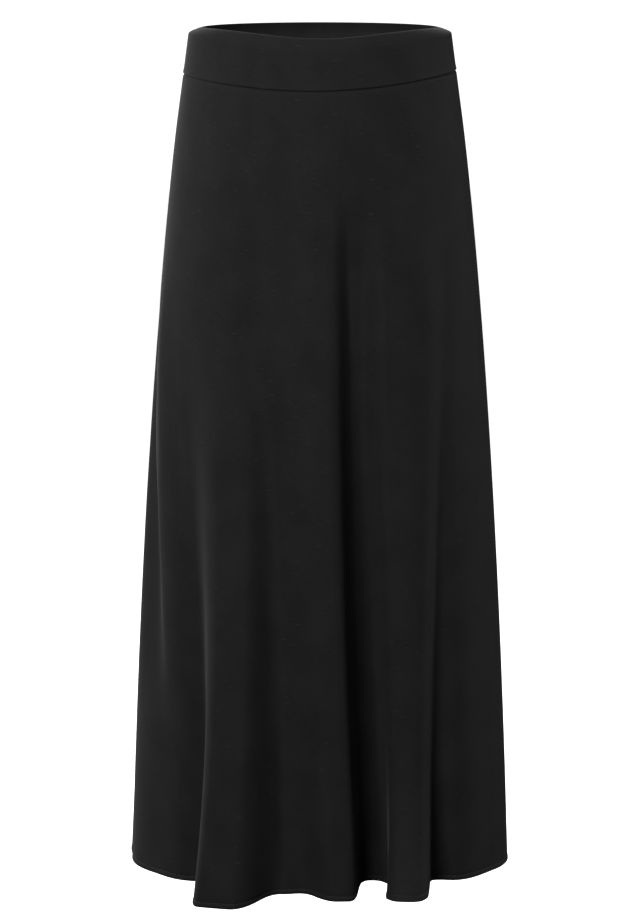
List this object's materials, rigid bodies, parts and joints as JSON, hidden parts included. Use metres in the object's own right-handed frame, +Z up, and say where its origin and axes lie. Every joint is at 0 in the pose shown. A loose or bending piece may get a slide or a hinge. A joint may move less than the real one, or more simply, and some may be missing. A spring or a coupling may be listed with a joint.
{
  "type": "midi skirt",
  "caption": "Worn A-line midi skirt in jersey, hollow and open at waist and hem, with a wide pull-on waistband and deep soft folds that grow towards the hem.",
  "frame": {"origin": "centre of the waist opening, level with the top rim of the waistband at the side seams, where the wearer holds the skirt up", "axes": "+Z up, from the hem to the waist; -Y is the front; +X is to the right as the front is seen, which is the wearer's left"},
  "size_m": [0.4037, 0.3476, 0.888],
  "materials": {
    "jersey": "matt black jersey with a faint sheen at grazing angles",
    "band_jersey": "the same matt black jersey, folded double"
  },
  "bodies": {
    "root": {"skirt_front": "jersey", "skirt_back": "jersey", "waistband_front": "band_jersey", "waistband_back": "band_jersey"}
  },
  "joints": []
}
